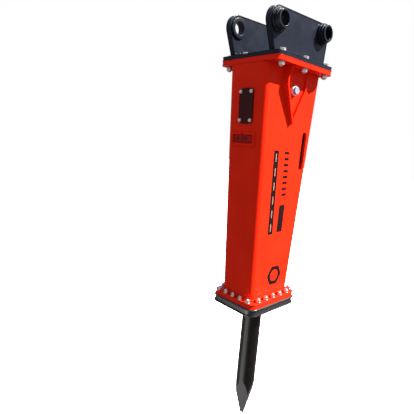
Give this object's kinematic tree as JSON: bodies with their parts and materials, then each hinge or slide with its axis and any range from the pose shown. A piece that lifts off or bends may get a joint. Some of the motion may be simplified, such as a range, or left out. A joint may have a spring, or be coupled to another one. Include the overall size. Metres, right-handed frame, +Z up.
{
  "type": "hydraulic breaker hammer",
  "caption": "Box-housed hydraulic breaker hammer with a two-pin excavator bracket, a sliding pointed tool and its percussion cell inside.",
  "frame": {"origin": "middle of the bracket base plate's top face, on the tool's axis, between the two ears", "axes": "+Z up along the tool's axis, away from the point; +X to one side, along the pins; +Y from the front, with the inspection cover, to the back"},
  "size_m": [0.478, 0.637, 2.8825],
  "materials": {
    "red_paint": "glossy red enamel on welded plate",
    "black_paint": "semi-gloss black enamel",
    "cover_paint": "satin brown-black paint",
    "zinc_steel": "bright zinc-plated fastener",
    "tool_steel": "dark oiled hardened steel",
    "forged_steel": "dark machined forging",
    "ground_steel": "ground and polished steel",
    "bronze": "turned bronze",
    "polyurethane": "matte black elastomer",
    "label_metal": "dark satin plate",
    "cap_plastic": "dark blue moulded plastic"
  },
  "bodies": {
    "breaker_body": {"bracket_base_plate": "black_paint", "bracket_ear_left": "black_paint", "bracket_ear_right": "black_paint", "pin_boss_front_left": "black_paint", "pin_boss_back_left": "black_paint", "pin_boss_front_right": "black_paint", "pin_boss_back_right": "black_paint", "flange_bolt_outer_1": "zinc_steel", "flange_bolt_outer_2": "zinc_steel", "flange_bolt_outer_3": "zinc_steel", "flange_bolt_outer_4": "zinc_steel", "flange_bolt_outer_5": "zinc_steel", "flange_bolt_outer_6": "zinc_steel", "flange_bolt_inner_1": "zinc_steel", "flange_bolt_inner_2": "zinc_steel", "flange_bolt_inner_3": "zinc_steel", "flange_bolt_inner_4": "zinc_steel", "housing_shell": "red_paint", "housing_top_flange": "red_paint", "housing_bottom_flange": "red_paint", "wear_plate": "black_paint", "port_guard_right": "red_paint", "port_guard_left": "red_paint", "inspection_cover": "cover_paint", "cover_bolt_1": "zinc_steel", "cover_bolt_2": "zinc_steel", "cover_bolt_3": "zinc_steel", "cover_bolt_4": "zinc_steel", "name_plate_frame": "red_paint", "name_plate": "label_metal", "port_adapter_in": "zinc_steel", "port_adapter_out": "zinc_steel", "port_cap_in": "cap_plastic", "port_cap_out": "cap_plastic", "front_head": "forged_steel", "cylinder": "forged_steel", "back_head": "forged_steel", "through_bolt_1": "forged_steel", "through_bolt_2": "forged_steel", "through_bolt_3": "forged_steel", "through_bolt_4": "forged_steel", "tool_lower_bush": "bronze", "tool_upper_bush": "bronze", "tool_pin_front": "ground_steel", "tool_pin_back": "ground_steel", "seal_retainer": "ground_steel", "valve_housing": "forged_steel", "valve_plug": "ground_steel", "accumulator_body": "forged_steel", "accumulator_diaphragm": "polyurethane", "accumulator_cover": "forged_steel", "gas_valve": "bronze", "lower_damper": "polyurethane", "upper_damper": "polyurethane", "dust_seal": "polyurethane"},
    "tool": {"tool": "tool_steel"},
    "piston": {"piston": "ground_steel"},
    "spool": {"valve_spool": "ground_steel"}
  },
  "joints": [
    {"name": "tool_slide", "type": "slide", "parent": "breaker_body", "child": "tool", "axis": [0, 0, 1], "range_m": [0, 0.065]},
    {"name": "piston_slide", "type": "slide", "parent": "breaker_body", "child": "piston", "axis": [0, 0, 1], "range_m": [0, 0.15]},
    {"name": "spool_slide", "type": "slide", "parent": "breaker_body", "child": "spool", "axis": [0, 0, 1], "range_m": [0, 0.018]}
  ]
}
